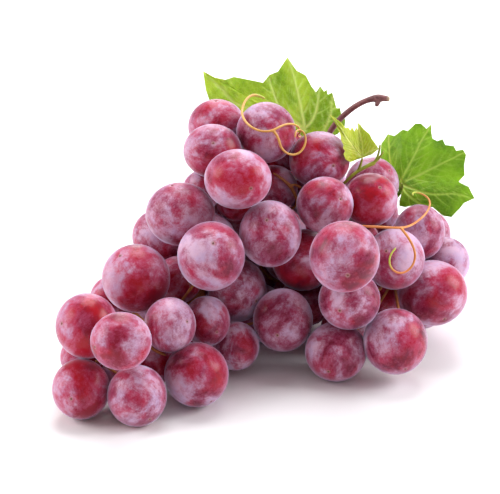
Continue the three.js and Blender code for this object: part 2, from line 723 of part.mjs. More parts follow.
// Short stalks of the berries: each runs from the nearest arm to the side of its berry that faces
// it, round the berries between. One that finds no free way is left out. The directions tried are
// spread evenly over a sphere by the golden angle.
const goldenAngle = Math.PI * (3 - Math.sqrt(5));
const directionCount = 120;
const pedicelRoom = pedicelRadius + pieceGap + barSlack;
const pedicels = [];
for (const berry of berries) {
  const start = nearestArmPoint(berry.centre);
  const facing = start.clone().sub(berry.centre).normalize();
  let end = null;
  for (let i = 0; i < directionCount; i += 1) {
    const height = 1 - 2 * (i + 0.5) / directionCount;
    const turn = i * goldenAngle;
    const flat = Math.sqrt(1 - height * height);
    const way = new THREE.Vector3(flat * Math.cos(turn), flat * Math.sin(turn), height);
    const spot = berry.centre.clone().addScaledVector(way, skinReach(berry, way) + pieceGap + barSlack);
    const blocked = berries.some((other) => other !== berry
      && !isClearOf(other, spot, pedicelRadius + pieceGap));
    if (!blocked && (!end || way.dot(facing) > end.way.dot(facing))) end = { way, spot };
  }
  if (!end) continue;
  const lift = end.spot.clone().addScaledVector(end.way, 1.2);
  let path = resample([start.clone(), start.clone().lerp(lift, 0.5), lift, end.spot], 2.5);
  const pins = { pinStart: true, pinEnd: true, rounds: 40 };
  bendClear(path, pedicelRoom, pins);
  path = bendClear(resample(path, 2.5), pedicelRoom, pins);
  const free = path.slice(1, -1).every((point) => berries.every((other) => (
    isClearOf(other, point, pedicelRoom - barSlack / 3)
  )));
  if (free) pedicels.push(path);
}

const groundPlate = new THREE.BoxGeometry(400, 400, 40);
groundPlate.translate(0, 0, -20);

// Each berry has a corner at its lowest point, so that the ones on the ground get a flat spot there.
const axes = new THREE.Matrix4().makeBasis(across, upward, toward);
const down = new THREE.Vector3(0, -Math.cos(viewTilt), -Math.sin(viewTilt));
const berrySolids = berries.map(({ centre, half }) => {
  const geometry = new THREE.IcosahedronGeometry(1, 1);
  const corner = new THREE.Vector3().fromBufferAttribute(geometry.attributes.position, 0).normalize();
  geometry.applyQuaternion(new THREE.Quaternion().setFromUnitVectors(corner, down));
  geometry.scale(half[0] * facetGrowth, half[1] * facetGrowth, half[2] * facetGrowth);
  geometry.applyMatrix4(axes);
  geometry.translate(centre.x, centre.y, centre.z);
  return solidOf(geometry);
});
const berryBunch = join(berrySolids).subtract(solidOf(groundPlate));

const armSolids = arms.map((arm, i) => solidOf(barGeometry(arm, (share) => (
  i === 0 ? THREE.MathUtils.lerp(stemRadius, armRadius * 0.8, share) : armRadius * (1 - 0.3 * share)
), { sides: 5, spacing: 5 })));
const pedicelSolids = [...twigs, ...pedicels].map((path) => solidOf(barGeometry(path, () => pedicelRadius, {
  sides: 4,
  spacing: 4.5,
})));
const stemWork = join([...armSolids, ...pedicelSolids]);

const stalk = join([
  solidOf(barGeometry(stalkLine, stalkWidth, { sides: 8, spacing: 2.2 })),
  solidOf(barGeometry(stubLine, (share) => 1.15 - 0.35 * share, { sides: 7 })),
]);

const shoot = join([
  solidOf(barGeometry(shootPath, (share) => shootRadius + shootSwelling * share ** 3)),
  ...shootBranches.map((line) => solidOf(barGeometry(
    line.map((spot) => seenPoint(...spot)),
    (share) => 0.6 - 0.15 * share,
    { sides: 5 },
  ))),
]);

const tendrils = {};
for (const [name, paths] of Object.entries(tendrilPaths)) {
  tendrils[name] = join(paths.map((path) => solidOf(barGeometry(
    path,
    (share) => tendrilRadius * (1.05 - 0.35 * share),
    { sides: 5, spacing: 2.2 },
  ))));
}

// A blade joined to its leaf stalk, whose root is sunk in the foot of the blade.
function stalkedBlade(name) {
  const bar = barGeometry(petioles[name], (share) => petioleRadius * (1 - 0.2 * share));
  return geometryOf(join([solidOf(bladeGeometry(nets[name])), solidOf(bar)]));
}

const looks = {
  berries: { color: 0x8a3550, roughness: 0.45 },
  stems: { color: 0x7d6a3c, roughness: 0.7 },
  stalk: { color: 0x6e3f33, roughness: 0.7 },
  leaf_left: { color: 0xb5c23a, roughness: 0.5 },
  leaf_right: { color: 0x6f9a35, roughness: 0.5 },
  leaf_young: { color: 0xa8b23c, roughness: 0.5 },
  shoot: { color: 0x9aa845, roughness: 0.6 },
  tendril_left: { color: 0xc98a2c, roughness: 0.5 },
  tendril_right: { color: 0xc9742c, roughness: 0.5 },
};

const shapes = {
  berries: geometryOf(berryBunch),
  stems: geometryOf(stemWork),
  stalk: geometryOf(stalk),
  leaf_left: stalkedBlade('leaf_left'),
  leaf_right: stalkedBlade('leaf_right'),
  leaf_young: bladeGeometry(nets.leaf_young),
  shoot: geometryOf(shoot),
  tendril_left: geometryOf(tendrils.tendril_left),
  tendril_right: geometryOf(tendrils.tendril_right),
};

const bunch = new THREE.Group();
for (const [name, geometry] of Object.entries(shapes)) {
  const material = new THREE.MeshStandardMaterial({ ...looks[name], metalness: 0, flatShading: true });
  const mesh = new THREE.Mesh(geometry, material);
  mesh.name = name;
  bunch.add(mesh);
}
bunch.position.set(centreShift[0], centreShift[1], 0);

export default bunch;
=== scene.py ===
import math
import random

import bpy
import numpy as np
from mathutils import Matrix, Vector


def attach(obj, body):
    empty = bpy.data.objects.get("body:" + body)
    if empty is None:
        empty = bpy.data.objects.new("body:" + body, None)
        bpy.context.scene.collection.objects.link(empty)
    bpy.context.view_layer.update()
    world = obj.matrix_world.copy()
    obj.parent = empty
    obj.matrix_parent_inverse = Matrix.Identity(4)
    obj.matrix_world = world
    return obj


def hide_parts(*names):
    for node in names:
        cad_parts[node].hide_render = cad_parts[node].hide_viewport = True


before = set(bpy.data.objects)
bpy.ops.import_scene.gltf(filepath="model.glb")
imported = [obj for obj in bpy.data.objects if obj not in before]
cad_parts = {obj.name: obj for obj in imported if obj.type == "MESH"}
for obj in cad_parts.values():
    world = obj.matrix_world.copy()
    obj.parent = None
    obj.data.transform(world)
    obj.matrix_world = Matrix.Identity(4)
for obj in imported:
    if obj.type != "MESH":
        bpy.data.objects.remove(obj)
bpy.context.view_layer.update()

# A bunch of red table grapes lying on a pale floor, seen from in front and a little above.
# Rows of the berries are millimetres as seen by the camera; all that is built is in metres.

sight = {
    "tilt": 22.0,               # degrees that the camera looks down
    "distance": 700.0,          # mm from the camera to the middle of the bunch
    "middleHeight": 36.6,       # mm, height of that middle above the floor
    "shift": (-7.25, 13.78),    # mm, from the berries' own frame to the part's frame
    "fieldWidth": 177.5,        # mm that the picture spans at the middle of the bunch
    "sensor": 36.0,             # mm
    "nearest": 0.01,            # m, span of distances that the camera sees
    "farthest": 20.0,
}
seed = 11
smoothAngle = math.radians(60)
mergeReach = 2e-6               # m, corners nearer to each other than this are one
reliefHeight = 0.0002           # m, height of the fine relief in the materials

tilt = math.radians(sight["tilt"])
across = np.array([1.0, 0.0, 0.0])
upward = np.array([0.0, math.sin(tilt), math.cos(tilt)])
toward = np.array([0.0, -math.cos(tilt), math.sin(tilt)])
middle = np.array([0.0, 0.0, sight["middleHeight"]])
shift = np.array([sight["shift"][0], sight["shift"][1], 0.0])
sightAxes = np.stack([across, upward, toward], axis=1)


def seenPoint(x, y, depth):
    # place in mm of a spot seen at x across and y up, at a depth toward the eye
    flat = across * x + upward * y
    return middle + flat + depth * (toward - flat / sight["distance"])


def seenFrom(points):
    # across and up, as seen, of points in the part's frame in metres
    offset = np.asarray(points) * 1000 - shift - middle
    scale = sight["distance"] / (sight["distance"] - offset @ toward)
    return np.stack([offset @ across * scale, offset @ upward * scale], axis=-1)


def inPart(place):
    # from mm in the berries' own frame to metres in the part's frame
    return (place + shift) / 1000


def deselectAll():
    if bpy.context.object and bpy.context.object.mode != "OBJECT":
        bpy.ops.object.mode_set(mode="OBJECT")
    bpy.ops.object.select_all(action="DESELECT")


def makeActive(piece):
    deselectAll()
    piece.select_set(True)
    bpy.context.view_layer.objects.active = piece


def applyModifier(piece, kind, **values):
    makeActive(piece)
    modifier = piece.modifiers.new(kind.title(), kind)
    for key, value in values.items():
        setattr(modifier, key, value)
    bpy.ops.object.modifier_apply(modifier=modifier.name)


def placesOf(piece):
    flat = np.zeros(len(piece.data.vertices) * 3)
    piece.data.vertices.foreach_get("co", flat)
    return flat.reshape(-1, 3)


def setPlaces(piece, places):
    piece.data.vertices.foreach_set("co", np.asarray(places, dtype=float).ravel())
    piece.data.update()


def normalsOf(piece):
    flat = np.zeros(len(piece.data.vertices) * 3)
    piece.data.vertex_normals.foreach_get("vector", flat)
    return flat.reshape(-1, 3)


def setAttribute(piece, name, values):
    values = np.asarray(values, dtype=float)
    kind = "FLOAT_VECTOR" if values.ndim == 2 else "FLOAT"
    attribute = piece.data.attributes.new(name, kind, "POINT")
    attribute.data.foreach_set("vector" if kind == "FLOAT_VECTOR" else "value", values.ravel())


def shadeSmooth(piece):
    makeActive(piece)
    bpy.ops.object.shade_smooth_by_angle(angle=smoothAngle)


def settle(piece, node):
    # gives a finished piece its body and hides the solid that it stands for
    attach(piece, "root")
    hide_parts(node)


def solidCopy(node, name):
    # a closed, merged copy of a solid of the frame, ready to be made finer
    piece = bpy.data.objects.new(name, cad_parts[node].data.copy())
    bpy.context.scene.collection.objects.link(piece)
    piece.data.materials.clear()
    makeActive(piece)
    bpy.ops.mesh.customdata_custom_splitnormals_clear()
    bpy.ops.object.mode_set(mode="EDIT")
    bpy.ops.mesh.select_all(action="SELECT")
    bpy.ops.mesh.remove_doubles(threshold=mergeReach)
    bpy.ops.mesh.normals_make_consistent(inside=False)
    bpy.ops.object.mode_set(mode="OBJECT")
    return piece


# Camera

def makeCamera():
    data = bpy.data.cameras.new("camera")
    data.sensor_width = sight["sensor"]
    data.lens = sight["sensor"] * sight["distance"] / sight["fieldWidth"]
    data.clip_start = sight["nearest"]
    data.clip_end = sight["farthest"]
    camera = bpy.data.objects.new("camera", data)
    bpy.context.scene.collection.objects.link(camera)
    turn = Matrix(sightAxes.tolist()).to_4x4()
    turn.translation = Vector(inPart(middle + toward * sight["distance"]))
    camera.matrix_world = turn
    bpy.context.scene.camera = camera
    bpy.context.scene.view_settings.view_transform = "Standard"


# Floor and light

studio = {
    "floorSize": 3.0,
    "floorCuts": 3,
    "floorColour": (0.93, 0.925, 0.93),
    "floorRoughness": 0.9,
    "floorShine": 0.1,
    "worldColour": (1.0, 0.99, 1.0),
    "worldStrength": 0.43,
    "aim": (0, 0.01, 0.04),
    # name, place, size, watts and colour of each soft box
    "boxes": (
        ("boxLeft", (-0.75, -0.05, 0.42), 0.5, 5.1, (1.0, 0.98, 0.99)),
        ("boxRight", (0.75, 0.05, 0.45), 0.5, 6.8, (0.96, 0.97, 1.0)),
        ("boxTop", (0.0, 0.42, 0.90), 0.6, 7.5, (1.0, 1.0, 1.0)),
        ("boxBack", (0.1, 1.1, 0.55), 0.7, 5.0, (1.0, 1.0, 1.0)),
    ),
}


def makeStudio():
    deselectAll()
    bpy.ops.mesh.primitive_plane_add(size=studio["floorSize"], location=(0, 0, 0))
    floor = bpy.context.object
    floor.name = "floor"
    bpy.ops.object.mode_set(mode="EDIT")
    bpy.ops.mesh.select_all(action="SELECT")
    bpy.ops.mesh.subdivide(number_cuts=studio["floorCuts"])
    bpy.ops.object.mode_set(mode="OBJECT")
    material, shader = newMaterial("floorPaper")
    shader.inputs["Base Color"].default_value = (*studio["floorColour"], 1)
    shader.inputs["Roughness"].default_value = studio["floorRoughness"]
    shader.inputs["Specular IOR Level"].default_value = studio["floorShine"]
    floor.data.materials.append(material)

    world = bpy.data.worlds.new("studio")
    bpy.context.scene.world = world
    world.use_nodes = True
    backdrop = world.node_tree.nodes["Background"]
    backdrop.inputs["Color"].default_value = (*studio["worldColour"], 1)
    backdrop.inputs["Strength"].default_value = studio["worldStrength"]

    aim = Vector(studio["aim"])
    for name, place, size, watts, colour in studio["boxes"]:
        data = bpy.data.lights.new(name, "AREA")
        data.size = size
        data.energy = watts
        data.color = colour
        lamp = bpy.data.objects.new(name, data)
        bpy.context.scene.collection.objects.link(lamp)
        lamp.location = place
        lamp.rotation_euler = (aim - Vector(place)).to_track_quat("-Z", "Y").to_euler()


# Materials

def newMaterial(name):
    material = bpy.data.materials.new(name)
    material.use_nodes = True
    return material, material.node_tree.nodes["Principled BSDF"]


def addNode(tree, kind, inputs=None, **values):
    node = tree.nodes.new(kind)
    for key, value in values.items():
        setattr(node, key, value)
    for key, value in (inputs or {}).items():
        if isinstance(value, bpy.types.NodeSocket):
            tree.links.new(value, node.inputs[key])
        else:
            node.inputs[key].default_value = value
    return node


def blendColours(tree, share, first, second):
    node = addNode(tree, "ShaderNodeMix", data_type="RGBA")
    for socket, value in (("Factor_Float", share), ("A_Color", first), ("B_Color", second)):
        target = next(s for s in node.inputs if s.identifier == socket)
        if isinstance(value, bpy.types.NodeSocket):
            tree.links.new(value, target)
        else:
            target.default_value = (*value, 1) if isinstance(value, tuple) else value
    return next(s for s in node.outputs if s.identifier == "Result_Color")


def calculate(tree, operation, first, second=0.0, clamp=False):
    return addNode(tree, "ShaderNodeMath", {0: first, 1: second}, operation=operation,
                   use_clamp=clamp).outputs[0]


def mapRange(tree, value, low, high, newLow=0.0, newHigh=1.0):
    return addNode(tree, "ShaderNodeMapRange", {
        "Value": value, "From Min": low, "From Max": high, "To Min": newLow, "To Max": newHigh,
    }, interpolation_type="SMOOTHSTEP").outputs["Result"]


def attributeOf(tree, name, socket="Fac"):
    return addNode(tree, "ShaderNodeAttribute", attribute_name=name).outputs[socket]


def addRelief(tree, shader, strength, height):
    relief = addNode(tree, "ShaderNodeBump", {
        "Strength": strength, "Distance": reliefHeight, "Height": height,
    })
    tree.links.new(relief.outputs["Normal"], shader.inputs["Normal"])


def addGlow(shader, look):
    # light that enters the flesh or blade and comes out coloured
    shader.inputs["Subsurface Weight"].default_value = look["glow"]
    shader.inputs["Subsurface Radius"].default_value = look["glowReach"]
    shader.inputs["Subsurface Scale"].default_value = look["glowScale"]


mottleGrain = {"detail": 6.0, "roughness": 0.62}


def makeMottle():
    # uneven soft patches with a ragged edge, as a mask
    group = bpy.data.node_groups.new("mottle", "ShaderNodeTree")
    group.interface.new_socket("Vector", in_out="INPUT", socket_type="NodeSocketVector")
    for name in ("Scale", "Distortion", "Low", "High"):
        group.interface.new_socket(name, in_out="INPUT", socket_type="NodeSocketFloat")
    group.interface.new_socket("Mask", in_out="OUTPUT", socket_type="NodeSocketFloat")
    start = group.nodes.new("NodeGroupInput").outputs
    end = group.nodes.new("NodeGroupOutput")
    noise = addNode(group, "ShaderNodeTexNoise", {
        "Vector": start["Vector"], "Scale": start["Scale"], "Distortion": start["Distortion"],
        "Detail": mottleGrain["detail"], "Roughness": mottleGrain["roughness"],
    })
    mask = addNode(group, "ShaderNodeMapRange", {
        "Value": noise.outputs["Fac"], "From Min": start["Low"], "From Max": start["High"],
    }, interpolation_type="SMOOTHSTEP")
    group.links.new(mask.outputs["Result"], end.inputs["Mask"])
    return group


def mottle(tree, vector, scale, distortion, low, high):
    node = addNode(tree, "ShaderNodeGroup", node_tree=bpy.data.node_groups["mottle"])
    tree.links.new(vector, node.inputs["Vector"])
    for key, value in (("Scale", scale), ("Distortion", distortion), ("Low", low), ("High", high)):
        node.inputs[key].default_value = value
    return node.outputs["Mask"]


# Berries

berryForm = {
    "segments": 40,
    "rings": 26,
    "press": 0.9,          # mm that touching berries are pressed together
    "groundSink": 0.35,    # mm that the lowest ones flatten on the floor
    "backDepth": -60,      # mm, where a berry starts on its way toward the eye
    # shares of the radius
    "hilumDepth": 0.07,    # how far the stem end is drawn in
    "hilumWidth": 0.16,
    "scarHeight": -0.9925,  # faces below this are the scar's
    "scarInset": 0.075,
    "scarDepth": 0.018,
    "scarRim": 0.018,
    "scarHeart": -0.0252,
    "scarEdge": 0.93,      # farthest that a scar in view lies from the middle
    "scarSway": 0.25,      # how much the other scars stray from facing away from the stem
    "noiseSpan": 40,       # each berry takes its marks from another spot of this span
}

# Berries in view, deepest first: across, up, width, height as seen; then how red the skin is
# (0 purple, 1 red) and how much bloom covers it, which is real bloom and on some berries painted
# light and painted shade too: more bloom makes a berry that lies in shade paler, less bloom makes
# a bright one darker; and the depth, for those that hang free.
seenBerries = (
    (19.9, -18.8, 18.5, 18.5, 0.10, 0.30, -6),
    (45.4, -18.8, 17.0, 17.0, 0.15, 0.30, -12),
    (18.8, -4.6, 22.0, 22.0, 0.20, 0.45, 0),
    (11.7, 34.4, 16.6, 16.6, 0.60, 0.20, -7.2),
    (21.3, 18.1, 15.6, 15.6, 0.30, 0.45, -8),
    (8.5, 20.6, 17.0, 17.0, 0.40, 0.50, -2),
    (-5.0, 16.3, 14.2, 14.2, 1.00, 0.15, -2),
    (-17.0, 20.2, 14.2, 14.2, 0.60, 0.80, -2),
    (-32.3, 3.9, 19.2, 19.2, 0.45, 0.75, -2),
    (-25.6, -11.7, 17.0, 17.0, 0.80, 0.40, 10),
    (-49.3, -17.8, 14.9, 14.9, 0.80, 0.55, 15),
    (-33.7, -40.1, 17.0, 17.0, 0.60, 0.40, 28),
    (-45.4, -44.4, 14.2, 14.2, 0.40, 0.85, 34),
    (-60.0, -39.0, 14.9, 14.9, 1.00, 0.25, 34),
    (43.3, 22.4, 19.2, 19.2, 0.30, 0.85, -8),
    (62.8, 4.6, 17.0, 17.0, 0.60, 0.75, -26),
    (69.2, -5.3, 17.8, 17.8, 0.30, 0.85, -15),
    (-11.7, 42.8, 20.7, 19.5, 0.55, 0.55, -1),
    (5.7, 40.7, 21.2, 21.6, 0.30, 0.70, -6),
    (24.7, 30.9, 21.6, 20.4, 0.60, 0.50),
    (-4.6, -15.3, 20.9, 22.7, 0.20, 0.85, 6),
    (-5.0, -35.1, 16.7, 17.4, 0.35, 0.80, 16),
    (11.7, -25.9, 21.3, 22.6, 0.05, 0.45),
    (30.5, -37.1, 22.0, 21.3, 0.10, 0.65),
    (-24.7, 11.7, 24.8, 22.6, 0.35, 0.60),
    (-57.9, -28.0, 22.4, 23.4, 0.90, 0.40),
    (-19.0, -45.3, 22.9, 23.1, 0.45, 0.60),
    (60.2, 5.3, 18.1, 19.7, 0.35, 0.75),
    (42.8, 16.8, 19.3, 19.1, 0.72, 0.50),
    (64.9, -16.3, 24.8, 23.4, 0.55, 0.72),
    (51.3, -4.3, 21.6, 21.7, 0.35, 0.95),
    (51.6, -33.5, 23.0, 23.6, 0.45, 0.68),
    (-13.3, 34.1, 20.9, 19.2, 0.50, 0.50),
    (-4.3, 24.1, 24.0, 21.4, 0.80, 0.60),
    (7.2, 4.7, 22.2, 23.8, 0.30, 0.70),
    (-13.8, -3.2, 24.1, 24.7, 0.50, 0.65),
    (-40.5, -11.1, 24.3, 24.4, 0.95, 0.50),
    (26.6, 15.0, 20.3, 20.0, 0.45, 0.70),
    (35.3, -18.8, 22.0, 21.3, 0.25, 0.65),
    (-15.4, -26.3, 16.7, 18.0, 0.30, 0.80),
    (-28.4, -27.7, 18.5, 19.8, 0.25, 0.50),
    (-60.0, -50.4, 20.6, 21.7, 0.95, 0.45),
    (-40.1, -52.8, 21.3, 22.0, 0.50, 0.65),
    (-45.8, -33.4, 21.9, 20.8, 0.80, 0.50),
    (33.6, -3.4, 25.1, 25.6, 0.50, 0.42),
)

# Where the scar of the flower shows on a berry in view: the berry's row, and across and up.
scarsSeen = {
    36: (-45.5, -3.3), 25: (-65.7, -27.0), 43: (-54.0, -35.1), 42: (-35.5, -60.2),
    26: (-13.8, -54.3), 19: (29.3, 28.5), 22: (9.6, -30.9), 31: (54.7, -42.8),
    44: (34.1, -9.6), 41: (-62.5, -53.0),
}

# Middle line of the stem and its two arms in mm, which the berries' stem ends face.
armLines = (
    ((28.4, 26.7, 70.7), (20, 18, 52), (8, 9, 36), (-16, -8, 27), (-38, -30, 20), (-54, -50, 15)),
    ((20, 18, 52), (38, 12, 36), (56, 4, 29)),
    ((8, 9, 38), (-4, 14, 50), (-14, 17, 60)),
)

farBerryLook = {"red": (0.15, 0.85), "bloom": (0.45, 0.85)}

# How a far berry's facets are told from the others, with mm for the radii and the last one.
farFacet = {
    "longest": 0.618034,        # longest side, as a share of the corners' radius
    "narrow": 0.884311,         # shortest side as a share of the longest, unless all are alike
    "slack": 0.002,
    "radii": (7.0, 12.0),
    "growth": 1.03,             # the solids' corners stand this much outside the berry
    "apart": 1.5,               # centres nearer to each other than this are one berry's
}


def laySeenBerries():
    # each comes toward the eye until it touches the ones already laid, or clears the floor
    laid = []
    for x, y, width, height, red, bloom, *start in seenBerries:
        seenRadius = (width + height) / 4
        origin = seenPoint(x, y, 0)
        ray = seenPoint(x, y, 1) - origin
        shrink = seenRadius / sight["distance"]
        ground = (seenRadius - berryForm["groundSink"] - origin[2]) / (ray[2] + shrink)
        depth = max(start[0] if start else berryForm["backDepth"], ground)
        for other in laid:
            reach = seenRadius + other["half"][2] - berryForm["press"]
            offset = origin - other["centre"]
            a = ray @ ray - shrink ** 2
            b = offset @ ray + reach * shrink
            inside = b * b - a * (offset @ offset - reach ** 2)
            if inside > 0:
                depth = max(depth, (math.sqrt(inside) - b) / a)
        size = 1 - depth / sight["distance"]
        laid.append({
            "centre": seenPoint(x, y, depth),
            "half": np.array([width / 2, height / 2, seenRadius]) * size,
            "red": red,
            "bloom": bloom,
        })
    return laid


def findFarBerries(laid):
    # a whole facet of a round berry gives its centre: below the facet's middle, along its normal
    corners = placesOf(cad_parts["berries"]) * 1000 - shift
    facets = np.array([face.vertices[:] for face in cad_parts["berries"].data.polygons])
    a, b, c = (corners[facets[:, i]] for i in range(3))
    lengths = np.sort(np.stack([
        np.linalg.norm(b - a, axis=1), np.linalg.norm(c - b, axis=1), np.linalg.norm(a - c, axis=1),
    ], axis=1), axis=1)
    shortest, middling, longest = lengths.T
    cornerRadius = longest / farFacet["longest"]
    slack = farFacet["slack"]
    even = np.abs(shortest / longest - 1) < slack
    narrow = np.abs(shortest / longest - farFacet["narrow"]) < slack
    alike = narrow & (np.abs(middling / shortest - 1) < slack)
    least, most = farFacet["radii"]
    whole = (even | alike) & (cornerRadius > least) & (cornerRadius < most)
    a, b, c, cornerRadius = a[whole], b[whole], c[whole], cornerRadius[whole]
    u, v = b - a, c - a
    normal = np.cross(u, v)
    square = (normal ** 2).sum(1, keepdims=True)
    foot = a + (np.cross(normal, u) * (v ** 2).sum(1, keepdims=True)
                + np.cross(v, normal) * (u ** 2).sum(1, keepdims=True)) / (2 * square)
    reach = ((foot - a) ** 2).sum(1)
    normal /= np.sqrt(square)
    centres = foot - normal * np.sqrt(cornerRadius ** 2 - reach)[:, None]
    found = []
    for centre, radius in zip(centres, cornerRadius / farFacet["growth"]):
        known = [berry["centre"] for berry in laid + found]
        if min(np.linalg.norm(centre - place) for place in known) > farFacet["apart"]:
            red = placing.uniform(*farBerryLook["red"])
            bloom = placing.uniform(*farBerryLook["bloom"])
            found.append({
                "centre": centre, "half": np.full(3, radius), "red": red, "bloom": bloom,
            })
    return found


def nearestOnArms(point):
    best = None
    for line in armLines:
        for start, end in zip(line, line[1:]):
            start, way = np.array(start, float), np.subtract(end, start)
            share = np.clip((point - start) @ way / (way @ way), 0, 1)
            spot = start + way * share
            if best is None or np.linalg.norm(spot - point) < np.linalg.norm(best - point):
                best = spot
    return best


def scarDirection(berry, index):
    # away from the stem, or where the scar shows in view
    if index in scarsSeen:
        x, y = scarsSeen[index]
        centre = seenFrom(inPart(berry["centre"]))
        flat = np.array([x - centre[0], y - centre[1]]) / berry["half"][:2]
        flat *= min(1.0, berryForm["scarEdge"] / np.linalg.norm(flat))
        facing = math.sqrt(1 - flat @ flat)
        way = sightAxes @ np.array([flat[0], flat[1], facing])
    else:
        way = berry["centre"] - nearestOnArms(berry["centre"])
        sway = [placing.gauss(0, berryForm["scarSway"]) for _ in range(3)]
        way = way / np.linalg.norm(way) + np.array(sway)
    return Vector(way).normalized()


def modelBerry():
    # one berry of unit radius: stem end up, drawn in; scar of the flower at the bottom
    deselectAll()
    bpy.ops.mesh.primitive_uv_sphere_add(
        segments=berryForm["segments"], ring_count=berryForm["rings"], radius=1)
    berry = bpy.context.object
    selectBelow(berry, berryForm["scarHeight"])
    bpy.ops.object.mode_set(mode="EDIT")
    bpy.ops.mesh.inset(thickness=berryForm["scarInset"], depth=0)
    bpy.ops.transform.translate(value=(0, 0, berryForm["scarDepth"]))
    bpy.ops.mesh.inset(thickness=berryForm["scarRim"], depth=0)
    bpy.ops.transform.translate(value=(0, 0, berryForm["scarHeart"]))
    bpy.ops.object.mode_set(mode="OBJECT")
    places = placesOf(berry)
    away = np.linalg.norm(places[:, :2], axis=1)
    top = places[:, 2] > 0
    hollow = np.exp(-(away[top] / berryForm["hilumWidth"]) ** 2)
    places[top, 2] -= berryForm["hilumDepth"] * hollow
    setPlaces(berry, places)
    return berry


def selectBelow(piece, height):
    # selects the faces whose corners all lie below a height
    deselectAll()
    makeActive(piece)
    bpy.ops.object.mode_set(mode="EDIT")
    bpy.ops.mesh.select_all(action="DESELECT")
    bpy.ops.object.mode_set(mode="OBJECT")
    for face in piece.data.polygons:
        face.select = all(piece.data.vertices[i].co.z < height for i in face.vertices)


def copyBerry(model, berry, index):
    # turns the scar to its side, then gives the berry its width, height and depth as seen
    piece = bpy.data.objects.new(f"berry{index + 1:02d}", model.data.copy())
    bpy.context.scene.collection.objects.link(piece)
    way = scarDirection(berry, index)
    spin = Matrix.Rotation(placing.uniform(0, 2 * math.pi), 3, "Z")
    turn = np.array((-way).to_track_quat("Z", "Y").to_matrix() @ spin)
    unit = placesOf(piece)
    turned = unit @ turn.T @ sightAxes
    places = berry["centre"] + (turned * berry["half"]) @ sightAxes.T
    places = inPart(places)
    places[:, 2] = np.maximum(places[:, 2], 0)
    setPlaces(piece, places)
    setAttribute(piece, "berryPlace", unit)
    jump = [placing.uniform(0, berryForm["noiseSpan"]) for _ in range(3)]
    setAttribute(piece, "berryShift", np.tile(jump, (len(unit), 1)))
    setAttribute(piece, "berryRed", np.full(len(unit), berry["red"]))
    # the bloom share is real bloom and, on some berries, painted light and painted shade
    setAttribute(piece, "berryBloomAndPaintedLight", np.full(len(unit), berry["bloom"]))
    return piece


skinLook = {
    "purple": (0.14, 0.002, 0.018),
    "red": (0.36, 0.001, 0.010),
    "ripeness": (0.8, 0.4, 0.4, 0.6),       # mottle that shifts a berry between the two
    "mauve": (0.28, 0.031, 0.085),          # thin film of bloom
    "rose": (0.43, 0.041, 0.100),
    "lilac": (0.52, 0.36, 0.54),            # thick film of bloom
    "pale": (0.62, 0.40, 0.53),
    "thickHues": (1.7, 0.4, 0.35, 0.65),    # mottle that chooses between these two
    # scale, distortion and share of each layer of the film: rubbed patches, worn edges, grain, dust
    "layers": ((0.72, 0.4, 0.64), (2.0, 0.7, 0.15), (7.0, 0.6, 0.11), (30.0, 0.2, 0.10)),
    "layerEdge": (0.34, 0.66),
    "bloomShare": 0.55,
    "bareLevel": 0.40,
    "thinFilm": (0.0, 0.44),                # levels of the film between which each takes over
    "thickFilm": (0.30, 0.86),
    "pore": (0.10, 0.02, 0.03),
    "poreScale": 9.0,
    "poreRing": (0.03, 0.07, 0.35, 0.0),    # where it starts and ends, and how strong it is there
    "scar": (0.46, 0.22, 0.20),
    "scarRing": (0.050, 0.095, 0.65, 0.0),
    "heart": (0.10, 0.035, 0.02),
    "heartRing": (0.022, 0.045, 0.85, 0.0),
    "roughness": (0.24, 0.52),
    "relief": 0.12,
    "glow": 0.30,
    "glowReach": (1.0, 0.18, 0.22),
    "glowScale": 0.004,
    "shine": 0.22,
    "sheen": 0.9,
    "sheenRoughness": 0.35,
    "sheenTint": (0.80, 0.72, 1.0, 1),
}


